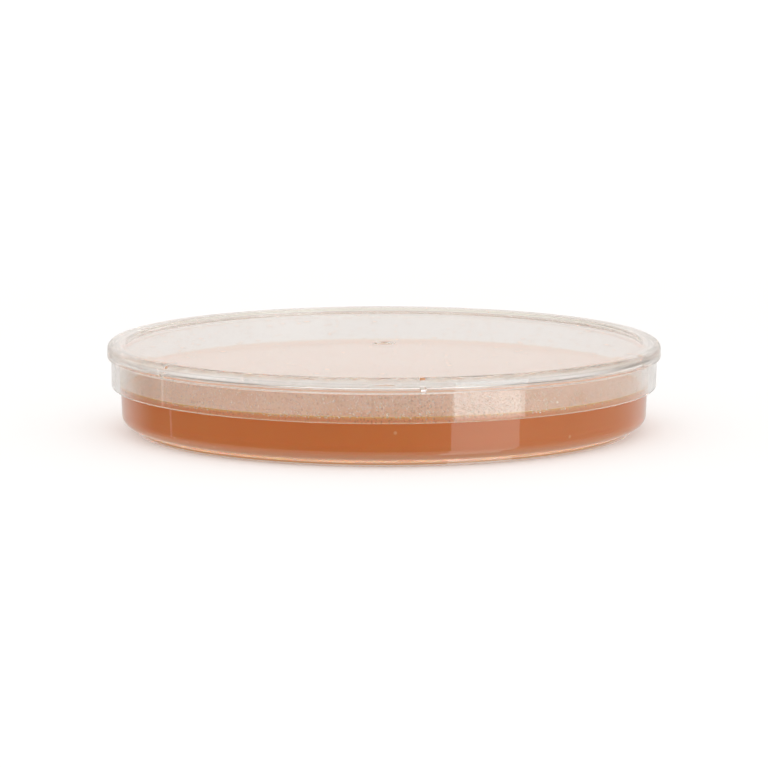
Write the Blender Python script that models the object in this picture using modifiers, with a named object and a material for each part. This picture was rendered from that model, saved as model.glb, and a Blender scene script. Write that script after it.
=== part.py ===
"""A closed petri dish of nutrient agar: the base dish, the set agar in it, and the lid on its rim.

Every piece is round, so each one is a section turned about the upright axis. The lid also has
six small vent nubs under its plate, which hold it clear of the base's rim and let air pass.
Units are metres, +Z is up, and the origin is the centre of the circle that the foot stands on.
"""

import math

import bmesh
import bpy
from mathutils import Matrix

MM = 0.001

# The closed dish
OVERALL_HEIGHT = 15.0 * MM  # from the foot to the top of the stacking rim
SEAT_GAP = 0.3 * MM  # kept between pieces that touch on the real dish
SIDES = 84  # flats in a full turn
ARC_STEPS = 4  # straight pieces in a rounded corner

# Base dish
BASE_RIM_RADIUS = 44.6 * MM  # outside, at the open rim
BASE_WALL = 1.0 * MM
BASE_FLOOR = 1.2 * MM
BASE_DRAFT = math.radians(2.0)  # the wall leans out by this
BASE_RIM_ROUND = 0.35 * MM
INSIDE_CORNER = 2.4 * MM  # radius between wall and floor
OUTSIDE_CORNER = 1.6 * MM
CORNER_DROP = 0.5 * MM  # from the floor's top to the underside of the stepped corner

# Foot ring under the base, which drops into the stacking rim of a lid below
FOOT_INSET = 0.87 * MM  # from the end of the outside corner's rounding
FOOT_WIDTH = 1.2 * MM
FOOT_DEPTH = 0.5 * MM  # how far it stands below the floor
FOOT_ROUND = 0.25 * MM

# Lid
LID_HEIGHT = 7.45 * MM  # from the skirt's lip to the top of the stacking rim
LID_PLATE = 1.1 * MM
LID_WALL = 0.95 * MM  # of the skirt, where it meets the plate
LID_PLAY = 0.45 * MM  # all round, between the base's rim and the skirt
LID_DRAFT = math.radians(0.6)  # each face of the skirt leans by this, so the lip is thinner
LID_CORNER = 0.5 * MM  # radius between plate and skirt, inside
LIP_ROUND = 0.3 * MM
BEAD_PROUD = 0.65 * MM  # how far the bead stands out of the skirt
BEAD_HEIGHT = 2.55 * MM
BEAD_SHOULDER = 1.05 * MM  # radius of its upper edge
BEAD_EDGE = 0.25 * MM  # radius of its lower edge and of the root below it
STACK_RIM_HEIGHT = 0.55 * MM  # how far the rim stands above the plate
STACK_RIM_ROUND = 0.2 * MM
STACK_PLAY = 1.7 * MM  # all round, between a foot ring and the rim that it drops into

# Vent nubs under the plate
NUB_COUNT = 6
NUB_TURN = math.radians(38.0)
NUB_HEIGHT = 0.6 * MM
NUB_WIDTH = 0.9 * MM
NUB_LENGTH = 1.9 * MM  # from the skirt inwards
NUB_ROOT = 0.3 * MM  # how far a nub runs into plate and skirt
NUB_ROUND = 0.15 * MM

# Moulding gate, a shallow round well at the middle of each moulding
GATE_RADIUS = 2.0 * MM
GATE_DEPTH = 0.25 * MM

# Agar
AGAR_DEPTH = 6.3 * MM  # above the base's floor
MENISCUS_RISE = 0.5 * MM
MENISCUS_REACH = 2.2 * MM
MENISCUS_STEPS = 4

# Rounding and shading
MOST_ROUND = 0.45  # the largest rounding of a wall's edge, as a share of the wall
NUB_ROUND_STEPS = 2
SCREW_MERGE = 0.01 * MM
FLAT_WEIGHT = 100  # gives the broad flats all the say in the shading

# Looks
CLEAR_COLOUR = (0.90, 0.90, 0.89)
CLEAR_ROUGHNESS = 0.04
CLEAR_INDEX = 1.59
CLEAR_TRANSMISSION = 0.95
AGAR_COLOUR = (0.50, 0.155, 0.045)
AGAR_ROUGHNESS = 0.15
AGAR_INDEX = 1.34

# Heights that follow from the sizes above
PLATE_TOP = OVERALL_HEIGHT - STACK_RIM_HEIGHT
PLATE_UNDERSIDE = PLATE_TOP - LID_PLATE
LIP_LEVEL = OVERALL_HEIGHT - LID_HEIGHT
BEAD_LEVEL = OVERALL_HEIGHT - BEAD_HEIGHT
BASE_TOP = PLATE_UNDERSIDE - NUB_HEIGHT - SEAT_GAP
FLOOR_TOP = FOOT_DEPTH + BASE_FLOOR
CORNER_LEVEL = FLOOR_TOP - CORNER_DROP

# Radii that follow from them
SKIRT_INSIDE = BASE_RIM_RADIUS + LID_PLAY
SKIRT_OUTSIDE = SKIRT_INSIDE + LID_WALL
BEAD_RADIUS = SKIRT_OUTSIDE + BEAD_PROUD


def arc(centre, radius, start, end):
    """Points (r, z) of an arc about centre, from start to end in degrees, with both ends."""
    angles = [math.radians(start + (end - start) * i / ARC_STEPS) for i in range(ARC_STEPS + 1)]
    return [(centre[0] + radius * math.cos(a), centre[1] + radius * math.sin(a)) for a in angles]


def base_outside(z):
    """Radius of the base wall's outer face at height z."""
    return BASE_RIM_RADIUS - (BASE_TOP - z) * math.tan(BASE_DRAFT)


def base_inside(z):
    """Radius of the base wall's inner face at height z."""
    return base_outside(z) - BASE_WALL


def agar_side(z):
    """Radius of the agar's side, which follows the wall that it was poured against."""
    return base_inside(z) - SEAT_GAP


def skirt_inside(z):
    """Radius of the skirt's inner face, which opens downwards."""
    return SKIRT_INSIDE + (PLATE_UNDERSIDE - z) * math.tan(LID_DRAFT)


def skirt_outside(z):
    """Radius of the skirt's outer face, which closes in downwards."""
    return SKIRT_OUTSIDE - (PLATE_UNDERSIDE - z) * math.tan(LID_DRAFT)


def bottom_corner(side, level, radius):
    """Arc that rounds the drafted wall side(z) into the flat at level, from wall to flat."""
    touch = level + radius * (1 - math.sin(BASE_DRAFT))
    centre = (side(touch) - radius * math.cos(BASE_DRAFT), level + radius)
    return arc(centre, radius, -math.degrees(BASE_DRAFT), -90)


def foot_radius():
    """Outer radius of the foot ring, which stands inside the rounded outside corner."""
    return bottom_corner(base_outside, CORNER_LEVEL, OUTSIDE_CORNER)[-1][0] - FOOT_INSET


def gate_well(level, inwards):
    """Rim, foot and middle of the gate's well in the flat at level; inwards is +1 for up."""
    sunk = level + inwards * GATE_DEPTH
    return [(GATE_RADIUS, level), (GATE_RADIUS - GATE_DEPTH, sunk), (0, sunk)]


def base_section():
    """Half section of the base dish: out along the floor, up, over the rim, and down outside."""
    rim_round = min(BASE_RIM_ROUND, BASE_WALL * MOST_ROUND)
    rim_level = BASE_TOP - rim_round
    foot_outside = foot_radius()
    foot_inside = foot_outside - FOOT_WIDTH
    section = [(0, FLOOR_TOP)]
    section += reversed(bottom_corner(base_inside, FLOOR_TOP, INSIDE_CORNER))
    section += arc((base_inside(BASE_TOP) + rim_round, rim_level), rim_round, 180, 90)
    section += arc((BASE_RIM_RADIUS - rim_round, rim_level), rim_round, 90, 0)
    section += bottom_corner(base_outside, CORNER_LEVEL, OUTSIDE_CORNER)
    section += [(foot_outside, CORNER_LEVEL)]
    section += arc((foot_outside - FOOT_ROUND, FOOT_ROUND), FOOT_ROUND, 0, -90)
    section += arc((foot_inside + FOOT_ROUND, FOOT_ROUND), FOOT_ROUND, -90, -180)
    section += [(foot_inside, FOOT_DEPTH)]
    section += gate_well(FOOT_DEPTH, 1)
    return section


def lid_section():
    """Half section of the lid: out along the plate, over the rim, down outside, and back under."""
    lip_wall = skirt_outside(LIP_LEVEL) - skirt_inside(LIP_LEVEL)
    lip_round = min(LIP_ROUND, lip_wall * MOST_ROUND)
    lip_centre = LIP_LEVEL + lip_round
    rim_inside = foot_radius() + STACK_PLAY
    rim_centre = OVERALL_HEIGHT - STACK_RIM_ROUND
    shoulder_centre = OVERALL_HEIGHT - BEAD_SHOULDER
    root = skirt_outside(BEAD_LEVEL) + BEAD_EDGE
    section = list(reversed(gate_well(PLATE_TOP, -1)))
    section += [(rim_inside, PLATE_TOP)]
    section += arc((rim_inside + STACK_RIM_ROUND, rim_centre), STACK_RIM_ROUND, 180, 90)
    section += arc((BEAD_RADIUS - BEAD_SHOULDER, shoulder_centre), BEAD_SHOULDER, 90, 0)
    section += arc((BEAD_RADIUS - BEAD_EDGE, BEAD_LEVEL + BEAD_EDGE), BEAD_EDGE, 0, -90)
    section += arc((root, BEAD_LEVEL - BEAD_EDGE), BEAD_EDGE, 90, 180)
    section += arc((skirt_outside(lip_centre) - lip_round, lip_centre), lip_round, 0, -90)
    section += arc((skirt_inside(lip_centre) + lip_round, lip_centre), lip_round, -90, -180)
    section += arc((SKIRT_INSIDE - LID_CORNER, PLATE_UNDERSIDE - LID_CORNER), LID_CORNER, 0, 90)
    section += [(0, PLATE_UNDERSIDE)]
    return section


def agar_section():
    """Half section of the agar: a level top that climbs to the wall, the wall, and the floor."""
    surface = FLOOR_TOP + AGAR_DEPTH
    edge = agar_side(surface + MENISCUS_RISE)
    climb = [i / MENISCUS_STEPS for i in range(MENISCUS_STEPS + 1)]
    section = [(0, surface)]
    section += [(edge - MENISCUS_REACH * (1 - t), surface + MENISCUS_RISE * t**3) for t in climb]
    section += bottom_corner(agar_side, FLOOR_TOP + SEAT_GAP, max(INSIDE_CORNER - SEAT_GAP, SEAT_GAP))
    section += [(0, FLOOR_TOP + SEAT_GAP)]
    return section


def glossy(name, colour, roughness, index, transmission):
    """A smooth plain material. index is how strongly it bends light, transmission how clear it is."""
    material = bpy.data.materials.new(name)
    material.use_nodes = True
    shader = material.node_tree.nodes["Principled BSDF"]
    shader.inputs["Base Color"].default_value = (*colour, 1)
    shader.inputs["Metallic"].default_value = 0
    shader.inputs["Roughness"].default_value = roughness
    shader.inputs["IOR"].default_value = index
    shader.inputs["Transmission Weight"].default_value = transmission
    material.diffuse_color = (*colour, 1)
    return material


def turned(name, section, material, collection):
    """A closed round solid from half of its section, turned a full circle about the Z axis."""
    mesh = bpy.data.meshes.new(name)
    points = [(r, 0, z) for r, z in section]
    mesh.from_pydata(points, [(i, i + 1) for i in range(len(points) - 1)], [])
    mesh.materials.append(material)
    piece = bpy.data.objects.new(name, mesh)
    collection.objects.link(piece)
    screw = piece.modifiers.new("full_turn", "SCREW")
    screw.steps = SIDES
    screw.render_steps = SIDES
    screw.use_merge_vertices = True
    screw.merge_threshold = SCREW_MERGE
    screw.use_smooth_shade = True
    return piece


def even_shading(piece):
    """Let the broad flats set the shading, so that narrow rounded edges stay crisp beside them."""
    shading = piece.modifiers.new("even_shading", "WEIGHTED_NORMAL")
    shading.weight = FLAT_WEIGHT


def nub_tool(material, collection):
    """The vent nubs as one helper: round-edged ribs rooted in the lid's plate and skirt."""
    inner = SKIRT_INSIDE - NUB_LENGTH
    outer = SKIRT_INSIDE + NUB_ROOT
    low = PLATE_UNDERSIDE - NUB_HEIGHT
    high = PLATE_UNDERSIDE + NUB_ROOT
    size = Matrix.Diagonal((outer - inner, NUB_WIDTH, high - low, 1))
    place = Matrix.Translation(((inner + outer) / 2, 0, (low + high) / 2))
    shape = bmesh.new()
    for i in range(NUB_COUNT):
        turn = Matrix.Rotation(NUB_TURN + i * math.tau / NUB_COUNT, 4, "Z")
        bmesh.ops.create_cube(shape, size=1, matrix=turn @ place @ size)
    mesh = bpy.data.meshes.new("nub_tool")
    shape.to_mesh(mesh)
    shape.free()
    mesh.materials.append(material)
    tool = bpy.data.objects.new("nub_tool", mesh)
    collection.objects.link(tool)
    edges = tool.modifiers.new("rounded_edges", "BEVEL")
    edges.width = NUB_ROUND
    edges.segments = NUB_ROUND_STEPS
    tool.hide_render = True
    tool.display_type = "WIRE"
    return tool


def add_nubs(lid, tool):
    """Make the nubs one with the lid, as they are moulded."""
    union = lid.modifiers.new("vent_nubs", "BOOLEAN")
    union.operation = "UNION"
    union.solver = "EXACT"
    union.object = tool


def new_collection(name):
    collection = bpy.data.collections.new(name)
    bpy.context.scene.collection.children.link(collection)
    return collection


def build():
    for old in list(bpy.data.objects):
        bpy.data.objects.remove(old)
    dish = new_collection("agar_petri_dish")
    tools = new_collection("tools")

    clear = (CLEAR_COLOUR, CLEAR_ROUGHNESS, CLEAR_INDEX, CLEAR_TRANSMISSION)
    base_clear = glossy("base_polystyrene", *clear)
    lid_clear = glossy("lid_polystyrene", *clear)
    amber = glossy("agar", AGAR_COLOUR, AGAR_ROUGHNESS, AGAR_INDEX, 0)

    base = turned("base_dish", base_section(), base_clear, dish)
    agar = turned("agar_gel", agar_section(), amber, dish)
    lid = turned("lid", lid_section(), lid_clear, dish)
    add_nubs(lid, nub_tool(lid_clear, tools))

    centre = bpy.data.objects.new("foot_centre", None)
    dish.objects.link(centre)
    for piece in (base, agar, lid):
        even_shading(piece)
        piece.parent = centre


build()
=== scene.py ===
# %% [markdown]
# # A closed dish of agar
#
# The object is a shallow round culture dish of clear polystyrene, poured about half full of amber
# nutrient agar and closed by a loose lid. Almost everything on it is round about one upright axis, so
# this lesson draws half sections and turns them with numpy. The rest of the work is light: clear
# plastic shows only what it bends and mirrors, so outlines have to be true to a tenth of a millimetre.
#
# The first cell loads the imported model, which fixes the outer sizes and the places, and keeps its box.

# %% Load the frame
import math

import bpy
import numpy as np
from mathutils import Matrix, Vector


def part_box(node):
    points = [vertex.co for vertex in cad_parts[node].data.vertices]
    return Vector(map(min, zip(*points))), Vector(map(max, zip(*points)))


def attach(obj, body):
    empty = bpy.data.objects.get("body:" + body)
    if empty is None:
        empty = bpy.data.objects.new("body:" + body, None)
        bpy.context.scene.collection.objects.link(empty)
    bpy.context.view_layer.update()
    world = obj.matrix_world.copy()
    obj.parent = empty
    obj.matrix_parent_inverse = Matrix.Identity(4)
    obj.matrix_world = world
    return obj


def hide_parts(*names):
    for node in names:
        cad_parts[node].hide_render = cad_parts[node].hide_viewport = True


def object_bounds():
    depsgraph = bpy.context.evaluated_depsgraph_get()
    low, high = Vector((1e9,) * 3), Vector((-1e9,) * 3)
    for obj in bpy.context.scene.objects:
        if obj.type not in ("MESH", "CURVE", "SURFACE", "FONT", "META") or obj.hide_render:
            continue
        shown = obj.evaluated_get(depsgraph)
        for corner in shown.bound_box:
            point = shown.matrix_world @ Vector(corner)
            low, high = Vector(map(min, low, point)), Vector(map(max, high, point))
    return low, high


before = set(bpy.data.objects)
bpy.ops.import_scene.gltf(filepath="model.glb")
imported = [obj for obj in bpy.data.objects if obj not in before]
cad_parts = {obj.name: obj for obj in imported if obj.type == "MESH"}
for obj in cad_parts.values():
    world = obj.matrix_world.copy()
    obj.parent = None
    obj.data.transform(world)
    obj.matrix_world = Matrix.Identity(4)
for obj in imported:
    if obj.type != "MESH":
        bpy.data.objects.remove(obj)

MM = 0.001
cad_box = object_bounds()
print("nodes", sorted(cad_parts), "box", cad_box)

# %% [markdown]
# ## Camera
#
# A dish on a table is looked at from a little above. This view is 8 degrees above level and 78 cm
# away, through a long lens, so the far rim is hardly smaller than the near one. The camera could follow
# an empty by a constraint, but a direction turned into a rotation is plainer and needs no extra object.
# It looks at the middle of the box, which is also the point that other views turn about.

# %% Camera
VIEW_ABOVE = math.radians(8.1)
VIEW_DISTANCE = 0.779
LENS = 216.0  # millimetres, on a sensor 36 mm wide
NEAREST_SEEN = 0.01

middle = (Vector(cad_box[0]) + Vector(cad_box[1])) / 2


def towards(across, above):
    """Unit vector that points across radians to the right of the viewer's side, and above radians up."""
    level = math.cos(above)
    return Vector((math.sin(across) * level, -math.cos(across) * level, math.sin(above)))


def facing(direction):
    """Turn that makes an object's own -Z point along direction, with its Y up."""
    return direction.to_track_quat("-Z", "Y").to_euler()


view = bpy.data.cameras.new("view")
view.lens = LENS
view.clip_start = NEAREST_SEEN
viewer = bpy.data.objects.new("viewer", view)
viewer.location = middle + towards(0, VIEW_ABOVE) * VIEW_DISTANCE
viewer.rotation_euler = facing(middle - viewer.location)
bpy.context.scene.collection.objects.link(viewer)
bpy.context.scene.camera = viewer
bpy.context.scene.view_settings.view_transform = "Standard"
print("camera at", [round(x, 3) for x in viewer.location])

# %% [markdown]
# ## Shader maths
#
# A finish is a small tree of nodes. Written out node by node it is hard to read, so one class wraps a
# socket and lets Python's own operators add the Math nodes, and one method adds any other node.

# %% A class for shader values


class Value:
    """One output socket. Arithmetic on it adds Math nodes to the same tree."""

    def __init__(self, finish, socket):
        self.finish = finish
        self.socket = socket

    def maths(self, operation, *terms):
        return self.finish.node("ShaderNodeMath", {"operation": operation}, dict(enumerate(terms)))[0]

    def __add__(self, other):
        return self.maths("ADD", self, other)

    def __sub__(self, other):
        return self.maths("SUBTRACT", self, other)

    def __rsub__(self, other):
        return self.maths("SUBTRACT", other, self)

    def __mul__(self, other):
        return self.maths("MULTIPLY", self, other)

    def __truediv__(self, other):
        return self.maths("DIVIDE", self, other)

    def most(self, other):
        return self.maths("MAXIMUM", self, other)

    def least(self, other):
        return self.maths("MINIMUM", self, other)

    def step(self, low, high):
        """0 below low, 1 above high, and a smooth rise between. low may be the larger one."""
        settings = {"interpolation_type": "SMOOTHSTEP"}
        values = {"Value": self, "From Min": low, "From Max": high}
        return self.finish.node("ShaderNodeMapRange", settings, values)[0]

    __radd__ = __add__
    __rmul__ = __mul__


class Outputs:
    """The outputs of one node, by number or name, as values."""

    def __init__(self, finish, node):
        self.finish = finish
        self.node = node

    def __getitem__(self, key):
        return Value(self.finish, self.node.outputs[key])


print("values add, subtract, multiply, divide, take the larger or smaller, and step")

# %% [markdown]
# ## Finishes
#
# One more class holds the tree that the values belong to. A material and the world both own such a tree,
# so both get their nodes from the same method.

# %% A class for finishes


class Finish:
    """The nodes of one material or of the world."""

    def __init__(self, owner):
        self.owner = owner
        owner.use_nodes = True
        self.tree = owner.node_tree
        self.tree.nodes.clear()

    def node(self, kind, settings=None, values=None):
        """A new node of that kind: its settings first, then values or links by socket."""
        made = self.tree.nodes.new(kind)
        for name, setting in (settings or {}).items():
            setattr(made, name, setting)
        for key, value in (values or {}).items():
            if isinstance(value, Value):
                self.tree.links.new(value.socket, made.inputs[key])
            else:
                made.inputs[key].default_value = value
        return Outputs(self, made)


def material(name):
    return Finish(bpy.data.materials.new(name))


print("finishes ready")

# %% [markdown]
# ## Room
#
# The dish stands on a plain white surface in soft light. Clear plastic shows only its surroundings, so
# these matter as much as its own finish. Cards and curtains could be built round the dish, but then a
# wall that mirrors the room and a wall that is looked through would have to share them. Here the world
# works out a brightness for each direction instead, and Light Path tells it how the ray got there: the
# camera itself sees plain white, and matt things get an even pale grey.

# %% Directions and kinds of ray
room = Finish(bpy.data.worlds.new("room"))
bpy.context.scene.world = room.owner
path = room.node("ShaderNodeLightPath")
mirrored = path["Is Glossy Ray"]
matt = path["Is Diffuse Ray"]
direction = room.node("ShaderNodeTexCoord")["Object"]
towards_axis = room.node("ShaderNodeSeparateXYZ", {}, {0: direction})
to_right = towards_axis["X"]
to_back = towards_axis["Y"]
upwards = towards_axis["Z"]
print("room started with", len(room.tree.nodes), "nodes")

# %% [markdown]
# ## Brightness of the room
#
# Behind the dish hangs a white backdrop, which is seen through the plastic. In front the room is dim, or
# nothing would darken the plastic and its edges would vanish. As the walls mirror it, it is unevenly dim
# from left to right. It is brighter on the right, where the tall lamp stands, on the left only as seen
# through the plastic, and above eye level only as mirrored: a lid's plate mirrors that part, and upright
# walls don't. Below, the white table shows in the rounded corner.

# %% Brightness of the room
BACKDROP_SEEN = 0.93
BACKDROP_MIRRORED = 0.72
BACKDROP_EDGE = (0.45, 0.85)  # these edges are shares of a unit direction along its axis
FRONT_SEEN = 0.6  # the dim room as it is seen through plastic
FRONT_MIRRORED = 0.22  # and as the outer walls mirror it
STREAKS = 0.5  # how unevenly the front is lit from left to right
STREAK_SCALE = 5.0
FRONT_RIGHT = 0.45  # added on the right, where the tall lamp lights the room
RIGHT_EDGE = (0.1, 0.9)
LEFT_SEEN = 0.3  # added on the left, but not where the walls mirror it
LEFT_EDGE = (-0.3, -0.9)
ABOVE_MIRRORED = 0.5  # added above eye level, but only where it is mirrored
ABOVE_EDGE = (0.02, 0.12)
TABLE_LEVEL = 0.9
TABLE_EDGE = (-0.27, -0.40)
OVERHEAD_SEEN = 0.55
OVERHEAD_MIRRORED = 0.36
OVERHEAD_EDGE = (0.35, 0.65)
MATT_LIGHT = 0.80  # what matt surfaces get from all sides


def seen_or_mirrored(seen, reflected):
    """seen for a ray that came through plastic or water, reflected for one that was mirrored."""
    return seen - (seen - reflected) * mirrored


backdrop = seen_or_mirrored(BACKDROP_SEEN, BACKDROP_MIRRORED) * to_back.step(*BACKDROP_EDGE)
table = upwards.step(*TABLE_EDGE)
noise = {"W": to_right, "Scale": STREAK_SCALE}
streaks = room.node("ShaderNodeTexNoise", {"noise_dimensions": "1D"}, noise)[0]
uneven = 1 + (streaks - 0.5) * STREAKS * mirrored
front = seen_or_mirrored(FRONT_SEEN, FRONT_MIRRORED) * uneven
front = front + FRONT_RIGHT * to_right.step(*RIGHT_EDGE)
front = front + LEFT_SEEN * to_right.step(*LEFT_EDGE) * (1 - mirrored)
front = front + ABOVE_MIRRORED * upwards.step(*ABOVE_EDGE) * mirrored
front = front.least(1)
level = front + (1 - front) * backdrop.most(table * TABLE_LEVEL)
ceiling = seen_or_mirrored(OVERHEAD_SEEN, OVERHEAD_MIRRORED)
level = level + (ceiling - level) * upwards.step(*OVERHEAD_EDGE)
level = level + (MATT_LIGHT - level) * matt
print("brightness takes", len(room.tree.nodes), "nodes in all")

# %% [markdown]
# ## Colour of the room
#
# The dim front is warm, and warmer still as it is seen through the plastic, where light has been past the
# gel. The table is tinted by the agar above it. Everything else is nearly white.

# %% Colour of the room
COLOURS = {"data_type": "RGBA"}  # makes a Mix node mix colours: sockets 0, 6 and 7, output 2
WHITE = (1, 1, 1, 1)
WARM = (1.0, 0.975, 0.96, 1)  # the backdrop, and what matt surfaces get
TABLE = (0.94, 0.90, 0.81, 1)
DIM = (1.0, 0.93, 0.86, 1)  # the front of the room as mirrored
DIM_SEEN = (1.0, 0.85, 0.72, 1)  # and as seen through plastic and drops

tone = room.node("ShaderNodeMix", COLOURS, {0: mirrored, 6: DIM_SEEN, 7: DIM})[2]
tone = room.node("ShaderNodeMix", COLOURS, {0: backdrop.most(matt), 6: tone, 7: WARM})[2]
tone = room.node("ShaderNodeMix", COLOURS, {0: table * (1 - matt), 6: tone, 7: TABLE})[2]
surroundings = room.node("ShaderNodeBackground", {}, {"Color": tone, "Strength": level})[0]
white = room.node("ShaderNodeBackground", {}, {"Color": WHITE})[0]
both = room.node("ShaderNodeMixShader", {}, {0: path["Is Camera Ray"], 1: surroundings, 2: white})[0]
room.node("ShaderNodeOutputWorld", {}, {"Surface": both})
print("room done with", len(room.tree.nodes), "nodes")

# %% [markdown]
# ## Floor
#
# The floor is a large sheet of white paper. In this light it is a little too dim to be white by itself,
# and brighter lamps would wash out the plastic. So it gives the camera a small extra glow, which lifts it
# to white and leaves the shadow on it. Seen through the plastic it is let go outside the dish's own
# footprint, where the room's table stands in for it. Under the dish it carries a painted pool of orange
# light and shade: a glow in the colour that light through the agar would give it. Mirrored and soft
# bounced rays don't see it at all, and get the room.

# %% Floor
FLOOR_SIZE = 6.0
FLOOR_COLOUR = (0.80, 0.80, 0.80, 1)
FLOOR_GLOW = 0.16  # near the dish
FAR_GLOW = 0.35  # added further off, where the lamps reach less
GLOW_EDGE = (0.15, 0.8)  # metres from the axis
# painted light and shade: the orange glow under the dish, seen only through the plastic
UNDER_DISH_PAINTED_LIGHT = (0.52, 0.25, 0.12, 1)  # of the floor under the dish
UNDER_DISH_LIGHT_EDGE = (0.0440, 0.0480)  # metres from the axis

paper = material("white_paper")
ray = paper.node("ShaderNodeLightPath")
place = paper.node("ShaderNodeTexCoord")["Object"]
away = paper.node("ShaderNodeVectorMath", {"operation": "LENGTH"}, {0: place})["Value"]
strength = ray["Is Camera Ray"] * (FLOOR_GLOW + away.step(*GLOW_EDGE) * FAR_GLOW)
plain = paper.node("ShaderNodeBsdfDiffuse", {}, {"Color": FLOOR_COLOUR})[0]
glow = paper.node("ShaderNodeEmission", {}, {"Color": WHITE, "Strength": strength})[0]
sheet = paper.node("ShaderNodeAddShader", {}, {0: plain, 1: glow})[0]
# painted pool of orange light and shade under the dish, for rays that come through the plastic
under = paper.node("ShaderNodeEmission", {}, {"Color": UNDER_DISH_PAINTED_LIGHT})[0]
nothing = paper.node("ShaderNodeBsdfTransparent")[0]
behind = paper.node("ShaderNodeMixShader", {}, {0: away.step(*UNDER_DISH_LIGHT_EDGE), 1: under, 2: nothing})[0]
sheet = paper.node("ShaderNodeMixShader", {}, {0: ray["Is Transmission Ray"], 1: sheet, 2: behind})[0]
paper.node("ShaderNodeOutputMaterial", {}, {"Surface": sheet})

half = FLOOR_SIZE / 2
floor_mesh = bpy.data.meshes.new("floor")
floor_corners = [(-half, -half, 0), (half, -half, 0), (half, half, 0), (-half, half, 0)]
floor_mesh.from_pydata(floor_corners, [], [(0, 1, 2, 3)])
floor_mesh.materials.append(paper.owner)
floor = bpy.data.objects.new("floor", floor_mesh)
floor.visible_glossy = False
floor.visible_diffuse = False
bpy.context.scene.collection.objects.link(floor)
print("floor", FLOOR_SIZE, "m wide")

# %% [markdown]
# ## Lamps
#
# One tall soft lamp at the right front is mirrored as the upright pale bar on lid and wall, and a thin
# one at the left as the fine upright line there. A wide one above fills in. Area lamps are used because
# their mirror images have straight edges, as a softbox's have. The wide one isn't mirrored at all: its
# image would veil the lid's plate in a view from above.

# %% Lamps
LAMP_DISTANCE = 1.3
TALL_TOP = 0.21  # no higher, or the lid's plate would mirror it in views from behind
TALL_HEIGHT = 2.0  # it reaches below the table, which doesn't hide it from mirrored rays
TALL_WIDTH = 0.73
TALL_TURN = math.radians(44.3)  # to the right of the viewer's side
TALL_RADIANCE = 1.42
COOL = (0.78, 0.93, 0.97)
TOP_TURN = math.radians(80)  # above level, on the viewer's side
TOP_DISTANCE = 1.2
TOP_SIZE = 1.2
TOP_RADIANCE = 1.3
NEUTRAL = (1.0, 0.99, 0.98)
THIN_WIDTH = 0.03
THIN_TURN = math.radians(-105)
THIN_RADIANCE = 0.7
SOFT_WHITE = (1.0, 0.98, 0.95)


def soft_lamp(name, place, aim, width, height, radiance, colour):
    """A flat lamp at place that faces aim. Its power is pi times area times radiance."""
    light = bpy.data.lights.new(name, "AREA")
    light.shape = "RECTANGLE"
    light.size = width
    light.size_y = height
    light.energy = math.pi * width * height * radiance
    light.color = colour
    lamp = bpy.data.objects.new(name, light)
    lamp.location = place
    lamp.rotation_euler = facing(aim - place)
    lamp.visible_camera = False
    bpy.context.scene.collection.objects.link(lamp)
    print(name, "at", [round(x, 2) for x in lamp.location], "power", round(light.energy, 2))
    return lamp


lamp_aim = Vector((0, 0, TALL_TOP - TALL_HEIGHT / 2))
at_right = lamp_aim + towards(TALL_TURN, 0) * LAMP_DISTANCE
soft_lamp("tall_lamp", at_right, lamp_aim, TALL_WIDTH, TALL_HEIGHT, TALL_RADIANCE, COOL)
overhead = middle + towards(0, TOP_TURN) * TOP_DISTANCE
top_lamp = soft_lamp("top_lamp", overhead, middle, TOP_SIZE, TOP_SIZE, TOP_RADIANCE, NEUTRAL)
top_lamp.visible_glossy = False
at_left = lamp_aim + towards(THIN_TURN, 0) * LAMP_DISTANCE
soft_lamp("thin_lamp", at_left, lamp_aim, THIN_WIDTH, TALL_HEIGHT, THIN_RADIANCE, SOFT_WHITE)

# %% [markdown]
# ## Sizes
#
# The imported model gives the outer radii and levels. The roundings, walls and drafts inside those are
# written here in millimetres, as a mould maker would dimension them.

# %% Sizes from the frame
PLAY_IN_MODEL = 0.3  # the model keeps this between pieces that touch
lid_low, lid_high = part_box("lid")
base_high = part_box("base_dish")[1]
agar_low, agar_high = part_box("agar_gel")

TOP = lid_high.z / MM
BEAD_RADIUS = lid_high.x / MM
LIP_LEVEL = lid_low.z / MM
RIM_RADIUS = base_high.x / MM
RIM_LEVEL = base_high.z / MM
FLOOR_TOP = agar_low.z / MM - PLAY_IN_MODEL
print("bead", round(BEAD_RADIUS, 2), "rim", round(RIM_RADIUS, 2), "floor", round(FLOOR_TOP, 2))

# %% [markdown]
# ## Sizes inside the boxes
#
# Walls of about a millimetre, small roundings and drafts of a degree or two are what such mouldings need
# to fill and to leave the mould. Drafts and outside roundings follow the real outline. Walls and inside
# roundings are estimates, because the real dish shows them only through its own plastic.

# %% Sizes of the mouldings and the gel
BASE_WALL = 1.0
BASE_DRAFT = math.radians(2.0)
RIM_ROUND = 0.35
INSIDE_CORNER = 2.4
OUTSIDE_CORNER = 1.6
CORNER_DROP = 0.5  # from the floor's top to the underside of the stepped corner
FOOT_INSET = 0.87
FOOT_WIDTH = 1.2
FOOT_DEPTH = 0.5
FOOT_ROUND = 0.25

BEAD_PROUD = 0.65
BEAD_HEIGHT = 2.55
BEAD_SHOULDER = 1.05
BEAD_EDGE = 0.25
SKIRT_WALL = 0.95
SKIRT_DRAFT = math.radians(0.6)
LIP_ROUND = 0.3
LID_CORNER = 0.5
LID_PLATE = 1.1
STACK_RIM_HEIGHT = 0.55
STACK_RIM_ROUND = 0.2
STACK_PLAY = 1.7  # by which the stacking rim is wider than the foot ring, all round
GATE_RADIUS = 2.0
GATE_DEPTH = 0.25

NUB_COUNT = 6
NUB_TURN = math.radians(38)
NUB_WIDTH = 0.9
NUB_LENGTH = 1.9
NUB_HEIGHT = 0.6
NUB_EDGE = 0.12

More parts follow.
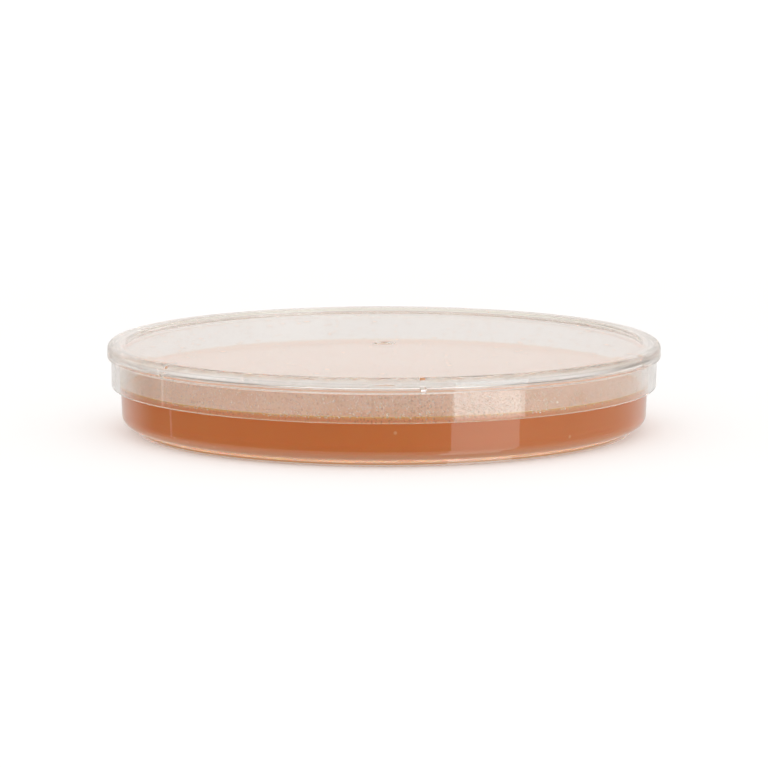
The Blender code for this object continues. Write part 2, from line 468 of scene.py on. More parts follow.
MENISCUS_RISE = 0.5
MENISCUS_REACH = 2.2
WETTING = 0.03  # how far the agar's skin lies inside the wall, so that no air shows between them

SKIRT_OUTSIDE = BEAD_RADIUS - BEAD_PROUD
SKIRT_INSIDE = SKIRT_OUTSIDE - SKIRT_WALL
PLATE_TOP = TOP - STACK_RIM_HEIGHT
PLATE_UNDER = PLATE_TOP - LID_PLATE
AGAR_TOP = agar_high.z / MM - MENISCUS_RISE
print("skirt inside", round(SKIRT_INSIDE, 2), "plate", round(PLATE_UNDER, 2), "agar", round(AGAR_TOP, 2))

# %% [markdown]
# ## Outlines
#
# A half section is a row of points from the axis, round the solid and back to the axis. Roundings are
# arcs, which a Bevel modifier could also make, but a section in numbers keeps their true radii. Smooth
# shading mixes the slopes of neighbouring faces, which would make a flat next to an arc look bent, so
# each long straight also gets a point close to either end, and its middle stays flat.

# %% Arcs and straights
ARC_STEPS = 8
SUPPORT = 0.03


def arc(centre, radius, start, end):
    """Points centre + radius * (cos a, sin a), for a from start to end in degrees."""
    turn = np.radians(np.linspace(start, end, ARC_STEPS + 1))
    return np.column_stack([centre[0] + radius * np.cos(turn), centre[1] + radius * np.sin(turn)])


def supported(section):
    """Adds start + SUPPORT * d and end - SUPPORT * d to each long straight, d being its direction."""
    start = section[:-1]
    step = section[1:] - start
    length = np.linalg.norm(step, axis=1, keepdims=True)
    reach = step / length * SUPPORT
    rows = np.stack([start, start + reach, section[1:] - reach], axis=1)
    keep = np.repeat(length > 4 * SUPPORT, 3, axis=1)
    keep[:, 0] = True
    return np.vstack([rows[keep], section[-1:]])


print("an arc has", len(arc((0, 0), 1, 0, 90)), "points")

# %% [markdown]
# ## Walls and corners
#
# A moulded wall leans, so that it leaves the mould: its radius is a function of the level. A corner's arc
# has to run smoothly out of the leaning wall and into the flat, so its centre is worked out from both.

# %% Leaning walls, corners and wells


def base_outside(z):
    return RIM_RADIUS - (RIM_LEVEL - z) * math.tan(BASE_DRAFT)


def base_inside(z):
    return base_outside(z) - BASE_WALL


def skirt_inside(z):
    return SKIRT_INSIDE + (PLATE_UNDER - z) * math.tan(SKIRT_DRAFT)


def skirt_outside(z):
    return SKIRT_OUTSIDE - (PLATE_UNDER - z) * math.tan(SKIRT_DRAFT)


def bottom_corner(side, level, radius):
    """Arc that rounds the leaning wall side(z) into the flat at level."""
    touch = level + radius * (1 - math.sin(BASE_DRAFT))
    centre = (side(touch) - radius * math.cos(BASE_DRAFT), level + radius)
    return arc(centre, radius, -math.degrees(BASE_DRAFT), -90)


def gate_well(level, inwards):
    """The shallow well that the moulding gate leaves, from its edge to the axis."""
    sunk = level + inwards * GATE_DEPTH
    return np.array([(GATE_RADIUS, level), (GATE_RADIUS - GATE_DEPTH, sunk), (0, sunk)])


print("the skirt is", round(skirt_outside(LIP_LEVEL) - skirt_inside(LIP_LEVEL), 2), "thick at its lip")

# %% [markdown]
# ## Turning
#
# Turning the section about the axis gives a grid: one row for each point of the section, one column for
# each angle. A Screw modifier would do it too, but in numpy the rows stay known: the two ends lie on the
# axis and close the solid with a fan of triangles, and each row carries a weight, 1 on faces inside the
# closed dish, so that the finish can lay its mist only there.

# %% Turning a section
COLUMNS = 480


def even_angles(count):
    return np.arange(count) * math.tau / count


def turned(name, section, inside, angles, relief=None):
    """Point (i, j) is (r_i * cos a_j, r_i * sin a_j, z_i), and relief may move z_i."""
    radius, turn = np.meshgrid(section[1:-1, 0], angles, indexing="ij")
    level = np.broadcast_to(section[1:-1, 1:], radius.shape)
    if relief:
        level = relief(radius, turn, level)
    rings = np.stack([radius * np.cos(turn), radius * np.sin(turn), level], axis=-1).reshape(-1, 3)
    poles = [(0, 0, section[0, 1]), (0, 0, section[-1, 1])]
    at = np.arange(radius.size).reshape(radius.shape)
    after = np.roll(at, -1, axis=1)
    quads = np.stack([at[:-1], at[1:], after[1:], after[:-1]], axis=-1).reshape(-1, 4)
    first = np.full(len(angles), radius.size)
    cap = np.column_stack([first, at[0], after[0]])
    end = np.column_stack([first + 1, after[-1], at[-1]])
    mesh = bpy.data.meshes.new(name)
    points = np.vstack([rings, poles]) * MM
    mesh.from_pydata(points.tolist(), [], quads.tolist() + cap.tolist() + end.tolist())
    mesh.shade_smooth()
    weight = np.repeat(inside[1:-1].astype(float), len(angles))
    weight = np.append(weight, [inside[0], inside[-1]])
    mesh.attributes.new("inside", "FLOAT", "POINT").data.foreach_set("value", weight)
    piece = bpy.data.objects.new(name, mesh)
    bpy.context.scene.collection.objects.link(piece)
    print(name, len(mesh.vertices), "points,", len(quads) * 2 + len(cap) * 2, "triangles")
    return piece


print("turned in", COLUMNS, "columns")

# %% [markdown]
# ## Base dish
#
# The base is one moulding: a floor, a foot ring, a stepped and rounded lower corner, a wall that leans out
# by two degrees, and a rounded rim. A cylinder with bevels would get its corner only roughly, and clear
# plastic shows that at once. So all of it is one section, with true arcs.

# %% Base section


def foot_radius():
    """Outer radius of the foot ring, set in from the end of the outside corner's rounding."""
    return bottom_corner(base_outside, FLOOR_TOP - CORNER_DROP, OUTSIDE_CORNER)[-1][0] - FOOT_INSET


def base_section():
    """Out along the floor, up the wall, over the rim, down outside, round the foot and back."""
    corner_level = FLOOR_TOP - CORNER_DROP
    rim_centre = RIM_LEVEL - RIM_ROUND
    foot_outside = foot_radius()
    foot_inside = foot_outside - FOOT_WIDTH
    parts = [
        [(0, FLOOR_TOP)],
        bottom_corner(base_inside, FLOOR_TOP, INSIDE_CORNER)[::-1],
        arc((base_inside(RIM_LEVEL) + RIM_ROUND, rim_centre), RIM_ROUND, 180, 90),
        arc((RIM_RADIUS - RIM_ROUND, rim_centre), RIM_ROUND, 90, 0),
        bottom_corner(base_outside, corner_level, OUTSIDE_CORNER),
        [(foot_outside, corner_level)],
        arc((foot_outside - FOOT_ROUND, FOOT_ROUND), FOOT_ROUND, 0, -90),
        arc((foot_inside + FOOT_ROUND, FOOT_ROUND), FOOT_ROUND, -90, -180),
        [(foot_inside, FOOT_DEPTH)],
        gate_well(FOOT_DEPTH, 1),
    ]
    return supported(np.vstack(parts))


section = base_section()
inside = (section[:, 0] < base_inside(RIM_LEVEL) + RIM_ROUND) & (section[:, 1] > AGAR_TOP)
base = turned("clear_base", section, inside, even_angles(COLUMNS))

# %% [markdown]
# ## Lid
#
# The lid is a second moulding: a plate, a raised stacking rim, a bead round the top edge, and a thin skirt.
# Six little nubs under the plate hold it clear of the base's rim. A Boolean could join them, but its seams
# would catch the light in clear plastic. They are pressed out of the plate's underside as a relief
# instead, and rows and columns lie closer together where a nub is.

# %% Lid section
NUB_ROWS = 15  # along a nub
NUB_END_ROWS = 8  # over its inner end
ROW_GAP = 0.02  # from a nub's inner end to the first row beyond it
BELOW_NUB = 0.2  # the skirt's inside has a row of its own this far below a nub, to end the relief


def lid_section():
    """Out along the plate, over rim and bead, down the skirt, round its lip and back underneath."""
    lip_centre = LIP_LEVEL + LIP_ROUND
    rim_inside = foot_radius() + STACK_PLAY
    bead_level = TOP - BEAD_HEIGHT
    root = skirt_outside(bead_level) + BEAD_EDGE
    nub_rows = np.linspace(SKIRT_INSIDE - LID_CORNER, SKIRT_INSIDE - NUB_LENGTH, NUB_ROWS + 1)[1:]
    nub_end = SKIRT_INSIDE - NUB_LENGTH - np.linspace(ROW_GAP, 3 * NUB_EDGE, NUB_END_ROWS)
    under = np.concatenate([nub_rows, nub_end])
    below = PLATE_UNDER - NUB_HEIGHT - BELOW_NUB
    parts = [
        gate_well(PLATE_TOP, -1)[::-1],
        [(rim_inside, PLATE_TOP)],
        arc((rim_inside + STACK_RIM_ROUND, TOP - STACK_RIM_ROUND), STACK_RIM_ROUND, 180, 90),
        arc((BEAD_RADIUS - BEAD_SHOULDER, TOP - BEAD_SHOULDER), BEAD_SHOULDER, 90, 0),
        arc((BEAD_RADIUS - BEAD_EDGE, bead_level + BEAD_EDGE), BEAD_EDGE, 0, -90),
        arc((root, bead_level - BEAD_EDGE), BEAD_EDGE, 90, 180),
        arc((skirt_outside(lip_centre) - LIP_ROUND, lip_centre), LIP_ROUND, 0, -90),
        arc((skirt_inside(lip_centre) + LIP_ROUND, lip_centre), LIP_ROUND, -90, -180),
        [(skirt_inside(below), below)],
        arc((SKIRT_INSIDE - LID_CORNER, PLATE_UNDER - LID_CORNER), LID_CORNER, 0, 90),
        np.column_stack([under, np.full(len(under), PLATE_UNDER)]),
        [(0, PLATE_UNDER)],
    ]
    return supported(np.vstack(parts))


print("the lid's section has", len(lid_section()), "points")

# %% [markdown]
# ## Vent nubs
#
# A nub is a small bar at the plate's corner, longer than it is wide. A mask worked out from the distances
# across and along it says how much of a point belongs to it, and the point goes down by that share.

# %% Nubs pressed out of the plate
NUB_COLUMNS = 33
NUB_MARGIN = 1.5  # in widths of a nub's edge, how far its fine columns reach past it
CLEAR_OF_NUB = 1.1  # even columns start this many times as far from a nub as the fine ones reach


def smooth(t):
    """3t^2 - 2t^3 between 0 and 1."""
    t = np.clip(t, 0, 1)
    return t * t * (3 - 2 * t)


def nub_relief(radius, turn, level):
    """Lowers the underside to the nubs' foot by a mask of the distance across and along a nub."""
    spacing = math.tau / NUB_COUNT
    across = np.abs((turn - NUB_TURN + spacing / 2) % spacing - spacing / 2) * radius
    along = radius - (SKIRT_INSIDE - NUB_LENGTH)
    mask = smooth((NUB_WIDTH / 2 - across) / NUB_EDGE + 0.5) * smooth(along / NUB_EDGE + 0.5)
    foot = PLATE_UNDER - NUB_HEIGHT
    under = (level < PLATE_UNDER + SUPPORT) & (level > foot) & (radius < SKIRT_INSIDE + SUPPORT)
    return np.where(under, level - mask * (level - foot), level)


def nub_angles():
    """Even columns, and finer ones across each nub."""
    reach = (NUB_WIDTH / 2 + NUB_MARGIN * NUB_EDGE) / SKIRT_INSIDE
    centres = NUB_TURN + even_angles(NUB_COUNT)
    fine = (centres[:, None] + np.linspace(-reach, reach, NUB_COLUMNS)[None, :]) % math.tau
    coarse = even_angles(COLUMNS)
    apart = np.abs((coarse[:, None] - centres[None, :] + math.pi) % math.tau - math.pi).min(axis=1)
    return np.sort(np.concatenate([coarse[apart > reach * CLEAR_OF_NUB], fine.ravel()]))


section = lid_section()
lip_row = int(np.argmin(section[:, 1]))
inside = np.arange(len(section)) > lip_row
lid = turned("clear_lid", section, inside, nub_angles(), nub_relief)

# %% [markdown]
# ## Agar
#
# The agar was poured hot and set against the wall, which it wets: its top is level and climbs a little
# where it meets the plastic. A disc cut by the base's inside would touch it face on face, which a
# renderer can't sort. So the gel's skin lies a hair inside the plastic, as no film of air may show
# between them: it would mirror like foil, and on the real dish there is none.

# %% Agar section
MENISCUS_STEPS = 12


def agar_side(z):
    return base_inside(z) + WETTING


def agar_section():
    """A level top, the meniscus z = top + rise * t^3, the wall, the corner and the floor."""
    edge = agar_side(AGAR_TOP + MENISCUS_RISE)
    t = np.linspace(0, 1, MENISCUS_STEPS + 1)
    climb = np.column_stack([edge - MENISCUS_REACH * (1 - t), AGAR_TOP + MENISCUS_RISE * t**3])
    under = FLOOR_TOP - WETTING
    corner = bottom_corner(agar_side, under, INSIDE_CORNER)
    return supported(np.vstack([[(0, AGAR_TOP)], climb, corner, [(0, under)]]))


section = agar_section()
agar = turned("amber_agar", section, section[:, 1] > AGAR_TOP - SUPPORT, even_angles(COLUMNS))

# %% [markdown]
# ## Clear polystyrene
#
# Polystyrene bends light strongly, with an index of 1.59, and is very slightly grey. The moulding is not
# optically flat: a slow unevenness and faint marks of the mould bend what is seen through it. A Glass
# shader could also bend light, but a Principled one keeps every finish here to the same inputs. Lamps have
# to reach the agar through the plastic, so for shadows and soft bounced light it is a plain see-through
# film.

# %% Uneven mould surface
CLEAR = (0.965, 0.962, 0.958, 1)
CLEAR_INDEX = 1.59
CLEAR_ROUGH = 0.008
FINE_ROUGH = 0.01  # added where the fine marks are
SLOW = {"Scale": 45.0, "Detail": 1.0}
FINE = {"Scale": 900.0, "Detail": 2.0}
SLOW_HEIGHT = 0.04
FINE_HEIGHT = 0.0015
BUMP_DISTANCE = 0.00015
FILM = (0.93, 0.93, 0.925, 1)


def clear_moulding(finish, place, extra_rough):
    """Clear plastic: index 1.59, bump = slow unevenness and fine marks, roughness = least + extras."""
    slow = finish.node("ShaderNodeTexNoise", {}, {"Vector": place, **SLOW})[0]
    fine = finish.node("ShaderNodeTexNoise", {}, {"Vector": place, **FINE})[0]
    height = slow * SLOW_HEIGHT + fine * FINE_HEIGHT
    bump = finish.node("ShaderNodeBump", {}, {"Height": height, "Distance": BUMP_DISTANCE, "Strength": 1.0})
    values = {
        "Base Color": CLEAR,
        "Roughness": CLEAR_ROUGH + extra_rough + fine * FINE_ROUGH,
        "IOR": CLEAR_INDEX,
        "Transmission Weight": 1.0,
        "Normal": bump[0],
    }
    return finish.node("ShaderNodeBsdfPrincipled", {}, values)[0]


def let_lamps_through(finish, surface, colour):
    """The surface for rays that see it, and a film of that colour for shadows and bounced light."""
    film = finish.node("ShaderNodeBsdfTransparent", {}, {"Color": colour})[0]
    ray = finish.node("ShaderNodeLightPath")
    through = ray["Is Shadow Ray"].most(ray["Is Diffuse Ray"])
    both = finish.node("ShaderNodeMixShader", {}, {0: through, 1: surface, 2: film})[0]
    finish.node("ShaderNodeOutputMaterial", {}, {"Surface": both})


print("slow unevenness", round(SLOW_HEIGHT * BUMP_DISTANCE / MM, 4), "mm high at most")

# %% [markdown]
# ## Mist and dew
#
# Inside the closed dish the plastic is misted and scatters a little light. On the walls the mist is
# patchy and a little rougher, and most of all a little to the left of the viewer's side it has grown to
# dew. Thousands of specks this fine would take a few hundred thousand more faces, so they are drawn with
# Voronoi cells as painted light. Pale ones are painted glints of drops that catch light. Dark ones are
# painted refraction, where a drop turns its view over and shows the dark gel below. Plate and corner
# stay almost clear.

# %% Mist and dew
MIST_ROUGH = 0.02
MIST_COLOUR = (1.0, 0.92, 0.84, 1)
MIST_LEAST = 0.010
MIST_PATCHY = 0.022
PATCHES = {"Scale": 70.0, "Detail": 3.0}
PATCH_EDGE = (0.35, 0.7)
WALL_EDGE = ((PLATE_UNDER - 0.5) * MM, (PLATE_UNDER - 1.2) * MM)  # levels where walls begin
# painted refraction: the gel's colour that a drop would show below it
DEW_PAINTED_REFRACTION = (0.50, 0.24, 0.11, 1)
DEW_SIDE = math.radians(-106)  # where most of it is, counted as on a unit circle seen from above
DEW_SIDE_EDGE = (0.1, 0.95)
DEW_LEAST = 0.3  # outside the damp patches
DEW_SCALE = 1900.0
# pale dots are painted glints of drops, and dark dots are painted refraction of the gel
DOT_EDGE = (0.45, 0.22)
GLINT_EDGE = (0.6, 0.7)  # a dot's random number decides whether it is pale or dark
PAINTED_GLINT_SHARE = 0.25
PAINTED_REFRACTION_SHARE = 0.30


def at_least(least, mask):
    """least where mask is 0, and 1 where it is 1. It takes a shader value or an array."""
    return least + (1 - least) * mask


def clear_polystyrene(name):
    """Clear moulding, mixed with haze by mist and by pale dots of painted glint, and with gel colour by
    dark dots of painted refraction.
    """
    finish = material(name)
    place = finish.node("ShaderNodeTexCoord")["Object"]
    inside = finish.node("ShaderNodeAttribute", {"attribute_name": "inside"})["Fac"]
    at = finish.node("ShaderNodeSeparateXYZ", {}, {0: place})
    on_wall = at["Z"].step(*WALL_EDGE)
    patches = finish.node("ShaderNodeTexNoise", {}, {"Vector": place, **PATCHES})[0]
    patchy = patches.step(*PATCH_EDGE) * on_wall
    clear = clear_moulding(finish, place, inside * MIST_ROUGH * patchy)
    side = (at["X"] * math.cos(DEW_SIDE) + at["Y"] * math.sin(DEW_SIDE)) / (SKIRT_INSIDE * MM)
    dewy = inside * on_wall * side.step(*DEW_SIDE_EDGE) * at_least(DEW_LEAST, patchy)
    cells = finish.node("ShaderNodeTexVoronoi", {}, {"Vector": place, "Scale": DEW_SCALE})
    dot = cells["Distance"].step(*DOT_EDGE) * dewy
    # painted glints on the pale dots
    painted_glint = finish.node("ShaderNodeSeparateColor", {}, {0: cells["Color"]})[0].step(*GLINT_EDGE)
    misted = inside * (MIST_LEAST + MIST_PATCHY * patchy) + dot * painted_glint * PAINTED_GLINT_SHARE
    haze = finish.node("ShaderNodeBsdfDiffuse", {}, {"Color": MIST_COLOUR})[0]
    plastic = finish.node("ShaderNodeMixShader", {}, {0: misted, 1: clear, 2: haze})[0]
    # painted refraction of the dark gel on the dark dots
    painted_refraction_shader = finish.node("ShaderNodeBsdfDiffuse", {}, {"Color": DEW_PAINTED_REFRACTION})[0]
    painted_refraction = dot * (1 - painted_glint) * PAINTED_REFRACTION_SHARE
    plastic = finish.node("ShaderNodeMixShader", {}, {0: painted_refraction, 1: plastic, 2: painted_refraction_shader})[0]
    let_lamps_through(finish, plastic, FILM)
    return finish.owner


base.data.materials.append(clear_polystyrene("clear_base_polystyrene"))
lid.data.materials.append(clear_polystyrene("clear_lid_polystyrene"))
print("clear plastic on", base.name, "and", lid.name)

# %% [markdown]
# ## Amber agar
#
# The gel is an orange-brown, slightly cloudy jelly. Light wanders a few millimetres inside it, so it has
# some subsurface scatter, which is quicker than a volume and does for a gel this cloudy. The colour hardly
# varies: a slow drift and a few tiny pale specks. The paler colour at its thin rim and bottom corner is
# painted light, for light that shines through thin gel there and shows through the curved plastic. Its wet
# top is glossy against air. Its side lies against plastic, which bends light more than the gel does, so
# its index there is the gel's divided by the plastic's.

# %% Agar finish
AMBER = (0.72, 0.222, 0.060, 1)
AMBER_DEEP = (0.67, 0.198, 0.052, 1)
# painted light: paler colours for light shining through thin gel at the rim and through the bottom corner
RIM_PAINTED_LIGHT = (0.86, 0.50, 0.27, 1)  # where the gel is thinnest, along its rim
CORNER_PAINTED_LIGHT = (0.63, 0.39, 0.255, 1)  # its bottom corner, which shows pale through the curved plastic
SPECK = (0.78, 0.40, 0.18, 1)
PAINTED_LIGHT_SHARE = 0.6  # the most that RIM_PAINTED_LIGHT and CORNER_PAINTED_LIGHT take over
RIM_LIGHT_EDGE = (AGAR_TOP - 0.9, AGAR_TOP + 0.3)
CORNER_LIGHT_EDGE = (FLOOR_TOP + 1.0, FLOOR_TOP)
DRIFT = {"Scale": 60.0, "Detail": 2.0}
WAVES = {"Scale": 150.0, "Detail": 2.0}
WAVE_DISTANCE = 0.00001
SPECK_SCALE = 120.0
SPECK_EDGE = (0.05, 0.02)
GEL_INDEX = 1.34
TOP_ROUGH = 0.08
SIDE_ROUGH = 0.3
SCATTERED = 0.5
SCATTER_COLOUR = (1.0, 0.35, 0.12)
SCATTER_REACH = 0.003


def amber_gel(name, index, rough):
    """The gel's colour with the mirror strength of index: against air on top, against plastic below."""
    finish = material(name)
    place = finish.node("ShaderNodeTexCoord")["Object"]
    drift = finish.node("ShaderNodeTexNoise", {}, {"Vector": place, **DRIFT})[0]
    body = finish.node("ShaderNodeMix", COLOURS, {0: drift, 6: AMBER_DEEP, 7: AMBER})[2]
    level = finish.node("ShaderNodeSeparateXYZ", {}, {0: place})["Z"] / MM
    # painted light at the rim and at the bottom corner
    rim = level.step(*RIM_LIGHT_EDGE)
    corner = level.step(*CORNER_LIGHT_EDGE)
    body = finish.node("ShaderNodeMix", COLOURS, {0: rim * PAINTED_LIGHT_SHARE, 6: body, 7: RIM_PAINTED_LIGHT})[2]
    body = finish.node("ShaderNodeMix", COLOURS, {0: corner * PAINTED_LIGHT_SHARE, 6: body, 7: CORNER_PAINTED_LIGHT})[2]
    cells = finish.node("ShaderNodeTexVoronoi", {}, {"Vector": place, "Scale": SPECK_SCALE})
    speck = cells["Distance"].step(*SPECK_EDGE)
    colour = finish.node("ShaderNodeMix", COLOURS, {0: speck, 6: body, 7: SPECK})[2]
    waves = finish.node("ShaderNodeTexNoise", {}, {"Vector": place, **WAVES})[0]
    bump = finish.node("ShaderNodeBump", {}, {"Height": waves, "Distance": WAVE_DISTANCE, "Strength": 1.0})
    values = {
        "Base Color": colour,
        "Roughness": rough,
        "IOR": index,
        "Subsurface Weight": SCATTERED,
        "Subsurface Radius": SCATTER_COLOUR,
        "Subsurface Scale": SCATTER_REACH,
        "Normal": bump[0],
    }
    gel = finish.node("ShaderNodeBsdfPrincipled", {}, values)[0]
    finish.node("ShaderNodeOutputMaterial", {}, {"Surface": gel})
    return finish.owner


agar.data.materials.append(amber_gel("amber_gel_top", GEL_INDEX, TOP_ROUGH))
agar.data.materials.append(amber_gel("amber_gel_side", GEL_INDEX / CLEAR_INDEX, SIDE_ROUGH))
middles = np.empty(len(agar.data.polygons) * 3)
agar.data.polygons.foreach_get("center", middles)
below = middles[2::3] < (AGAR_TOP - SUPPORT) * MM
agar.data.polygons.foreach_set("material_index", below.astype(np.int32))
print("amber gel on", agar.name, "with", int(below.sum()), "faces against plastic")

# %% [markdown]
# ## Condensation
#
# Warm agar breathes water, which settles as small round drops under the plate, inside the skirt and on
# the wall above the gel. They give the clear band its sparkle. Particles could scatter them, but arrays
# give one mesh for each face that they sit on, with no instances to undo. Each drop is a low dome of a
# few dozen faces whose foot is sunk a hair into the plastic.

# %% One drop, and many
DROP_COLUMNS = 8
DROP_SUNK = 0.01
DROP_HEIGHT = 0.42  # of the dome, as a share of its radius
SHOULDER = (0.8, 0.6)  # its radius and level in a dome of radius 1 and height 1
VARIED = (0.8, 1.2)  # how much drops differ in width and height
chance = np.random.default_rng(20)


def drop_template():
    """Foot centre, foot ring, shoulder ring and top of a unit dome, and the triangles over them."""
    turn = even_angles(DROP_COLUMNS)
    ring = np.column_stack([np.cos(turn), np.sin(turn), np.zeros(DROP_COLUMNS)])
    shoulder = ring * SHOULDER[0] + np.array([0, 0, SHOULDER[1]])
    points = np.vstack([[(0, 0, 0)], ring, shoulder, [(0, 0, 1)]])
    foot = np.arange(1, DROP_COLUMNS + 1)
    after = np.roll(foot, -1)
    upper = foot + DROP_COLUMNS
    upper_after = after + DROP_COLUMNS
    zero = np.zeros_like(foot)
    top = np.full_like(foot, len(points) - 1)
    triangles = [(zero, after, foot), (foot, after, upper), (after, upper_after, upper)]
    triangles += [(upper, upper_after, top)]
    return points, np.vstack([np.column_stack(t) for t in triangles])


def drops(name, centres, outward, radii):
    """Each point is centre + r * (x u + y v) + z * height * r * n, less the sunk foot, n outward."""
    points, triangles = drop_template()
    count = len(centres)
    spin = chance.uniform(0, math.tau, count)
    up = np.where(np.abs(outward[:, 2:]) > 0.9, [[1.0, 0, 0]], [[0, 0, 1.0]])
    first = np.cross(up, outward)
    first /= np.linalg.norm(first, axis=1, keepdims=True)
    second = np.cross(outward, first)
    u = first * np.cos(spin)[:, None] + second * np.sin(spin)[:, None]
    v = np.cross(outward, u) * chance.uniform(*VARIED, count)[:, None]
    height = radii * DROP_HEIGHT * chance.uniform(*VARIED, count)
    flat = points[None, :, 0:1] * u[:, None] + points[None, :, 1:2] * v[:, None]
    lift = points[None, :, 2:] * height[:, None, None] - (points[None, :, 2:] == 0) * DROP_SUNK
    placed = centres[:, None] + flat * radii[:, None, None] + lift * outward[:, None]
    faces = triangles[None] + (np.arange(count) * len(points))[:, None, None]
    mesh = bpy.data.meshes.new(name)
    mesh.from_pydata((placed.reshape(-1, 3) * MM).tolist(), [], faces.reshape(-1, 3).tolist())
    mesh.shade_smooth()
    piece = bpy.data.objects.new(name, mesh)
    bpy.context.scene.collection.objects.link(piece)
    print(name, count, "drops,", len(mesh.polygons), "triangles")
    return piece


print("a drop has", len(drop_template()[1]), "faces")

# %% [markdown]
# ## Where drops sit
#
# Real drops keep their distance, because two that touch run together. So they sit on a grid that is
# shaken by half its spacing, which hides its rows, and none grows past the room to its neighbour. More of
# them are kept where a slow random field says that the patch is damp, and near the viewer's left.

# %% Places and sizes of drops
SMALLEST_DROP = 0.06
LARGEST_DROP = 2.2  # times the usual size
ROOM_SHARE = 0.4  # of the distance to the nearest other drop
FIELD_CONTRAST = 1.6  # how sharply damp patches stand out
FRONT_OFFSET = 0.2  # of front_left before smoothing, a quarter turn away from the damp side


def shaken_grid(width, height, spacing, damp):
    """Grid points over width by height, each moved by up to half the spacing and kept by damp."""
    x, y = np.meshgrid(np.arange(0, width, spacing), np.arange(0, height, spacing), indexing="ij")
    spots = np.column_stack([x.ravel(), y.ravel()]) + chance.uniform(-0.5, 0.5, (x.size, 2)) * spacing
    return spots[chance.random(len(spots)) < damp(spots)]


def sized(spots, usual, spread):
    """Random radii about the usual one, capped by the neighbours. Drops that get too small are left out."""
    x, y = spots.T.astype(np.float32)
    apart = np.hypot(x[:, None] - x, y[:, None] - y)
    np.fill_diagonal(apart, np.inf)
    sizes = chance.lognormal(math.log(usual), spread, len(spots))
    sizes = np.clip(sizes, SMALLEST_DROP, usual * LARGEST_DROP)
    sizes = np.minimum(sizes, ROOM_SHARE * apart.min(axis=1))
    kept = sizes >= SMALLEST_DROP
    return spots[kept], sizes[kept]


def damp_field(count, scale):
    """A slow random field from 0 to 1: the mean of count waves of about that length, rescaled."""
    heading = chance.uniform(0, math.tau, count)
    waves = np.column_stack([np.cos(heading), np.sin(heading)]) * math.tau / scale
    phase = chance.uniform(0, math.tau, count)

    def field(spots):
        level = np.sin(spots @ waves.T + phase).mean(axis=1)
        return smooth(0.5 + level * FIELD_CONTRAST)

    return field


def front_left(turn):
    """1 a little to the left of the viewer's side, where most drops are, down to 0 behind."""
    return smooth(FRONT_OFFSET + (1 - FRONT_OFFSET) * np.cos(turn - DEW_SIDE))


print("smallest drop", SMALLEST_DROP, "mm in radius")

# %% [markdown]
# ## Drops under the plate
#
# Under the plate the drops are large and far apart, and a few millimetres next to the nubs are free of
# them. They are seen nearly edge on here, and round from above.

# %% Drops under the plate
PLATE_MARGIN = 3.0  # free of drops, from the nubs inwards
PLATE_SPACING = 2.3
PLATE_DROP = (0.36, 0.35)  # usual radius and spread
PLATE_WAVES = (9, 22.0)  # number and length
PLATE_DRY = 0.45  # chance of a drop in a dry patch
PLATE_FAR = 0.6  # and the share of it that is left far from the viewer's left
reach = SKIRT_INSIDE - NUB_LENGTH - PLATE_MARGIN
plate_patches = damp_field(*PLATE_WAVES)


def plate_damp(spots):
    """Chance of a drop: that of the patch, times that of the side."""
    spots = spots - reach
    turn = np.arctan2(spots[:, 1], spots[:, 0])
    return at_least(PLATE_DRY, plate_patches(spots)) * at_least(PLATE_FAR, front_left(turn))


spots = shaken_grid(2 * reach, 2 * reach, PLATE_SPACING, plate_damp) - reach
spots, sizes = sized(spots[np.linalg.norm(spots, axis=1) < reach], *PLATE_DROP)
centres = np.column_stack([spots, np.full(len(spots), PLATE_UNDER)])
under_plate = drops("plate_drops", centres, np.tile([0, 0, -1.0], (len(spots), 1)), sizes)

# %% [markdown]
# ## Drops on the walls
#
# On the walls they are small and close together, and few are far from the viewer's left. They sit inside
# the skirt, and on the base's wall between gel and rim.

# %% Drops on the walls
WALL_SPACING = 0.5
WALL_DROP = (0.12, 0.35)  # usual radius and spread
WALL_WAVES = (7, 9.0)  # number and length
WALL_DRY = 0.15  # chance of a drop in a dry patch
WALL_FAR = 0.1  # and the share of it that is left far from the viewer's left
FROM_EDGE = 0.7  # they keep this far from a lip or rim
FROM_CORNER = 0.9  # and this far from plate or gel
SHAKE_LIMIT = 0.15  # a shaken drop goes no nearer to the end of its stretch


def wall_drops(name, side, low, high):
    """Drops on the face side(z), which looks at the axis, between two levels."""
    around = math.tau * side(low)
    wet = damp_field(*WALL_WAVES)

    def damp(spots):
        return at_least(WALL_DRY, wet(spots)) * at_least(WALL_FAR, front_left(spots[:, 0] / side(low)))

    spots, sizes = sized(shaken_grid(around, high - low, WALL_SPACING, damp), *WALL_DROP)
    turn = spots[:, 0] / side(low)
    level = np.clip(spots[:, 1], SHAKE_LIMIT, high - low - SHAKE_LIMIT) + low
    outward = np.column_stack([np.cos(turn), np.sin(turn), np.zeros(len(turn))])
    centres = outward * side(level)[:, None] + np.column_stack([np.zeros((len(turn), 2)), level])
    return drops(name, centres, -outward, sizes)


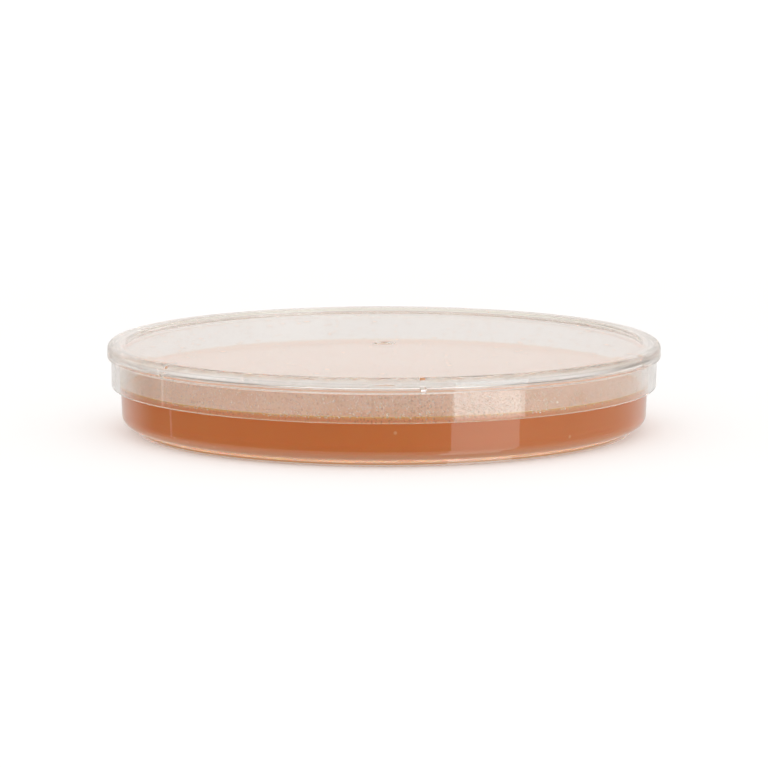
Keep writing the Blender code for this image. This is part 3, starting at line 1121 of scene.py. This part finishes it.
in_skirt = wall_drops("skirt_drops", skirt_inside, LIP_LEVEL + FROM_EDGE, PLATE_UNDER - FROM_CORNER)
on_base = wall_drops("wall_drops", base_inside, AGAR_TOP + FROM_CORNER, RIM_LEVEL - FROM_EDGE)

# %% [markdown]
# ## Water
#
# A drop is clear water and needs no pattern of its own: its shape bends the light. Its warm tint is
# painted light, for the light that real drops get from the gel below. Like the plastic it is a see-through
# film for the lamps.

# %% Water finish
# painted light: a warm tint for the light that drops get from the gel
WATER_PAINTED_WARM = (1.0, 0.94, 0.88, 1)
WATER_INDEX = 1.333


def water(name):
    """Clear water that lets the lamps through."""
    finish = material(name)
    clear = {"Base Color": WATER_PAINTED_WARM, "Roughness": 0.0, "IOR": WATER_INDEX, "Transmission Weight": 1.0}
    wet = finish.node("ShaderNodeBsdfPrincipled", {}, clear)[0]
    let_lamps_through(finish, wet, WHITE)
    return finish.owner


dew = water("clear_water")
for piece in (under_plate, in_skirt, on_base):
    piece.data.materials.append(dew)
    print(dew.name, "on", piece.name)

# %% [markdown]
# ## Joining the frame
#
# Each turned piece stands for its node of the imported model. The drops stand for nothing there. All ride
# on the one body, because nothing in the dish is jointed.

# %% Pieces on the frame
for piece, node, slot in (
    (base, "base_dish", "base_polystyrene"),
    (lid, "lid", "lid_polystyrene"),
    (agar, "agar_gel", "agar"),
):
    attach(piece, "root")
    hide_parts(node)
    print(piece.name, "stands for", node)
for piece, slot in (
    (under_plate, "lid_polystyrene"),
    (in_skirt, "lid_polystyrene"),
    (on_base, "base_polystyrene"),
):
    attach(piece, "root")
    print(piece.name, "rides along")

# %% [markdown]
# ## Depth of light
#
# A ray through the closed dish crosses ten or more surfaces, and in plate and bead it can be mirrored
# many times more before it gets out. It is followed for longer than usual, or edges would turn black.

# %% Light path lengths
MOST_TURNS = 128
MOST_FILMS = 64
cycles = bpy.context.scene.cycles
cycles.max_bounces = MOST_TURNS
cycles.transmission_bounces = MOST_TURNS
cycles.glossy_bounces = MOST_TURNS
cycles.transparent_max_bounces = MOST_FILMS
print("light turns at most", cycles.max_bounces, "times")
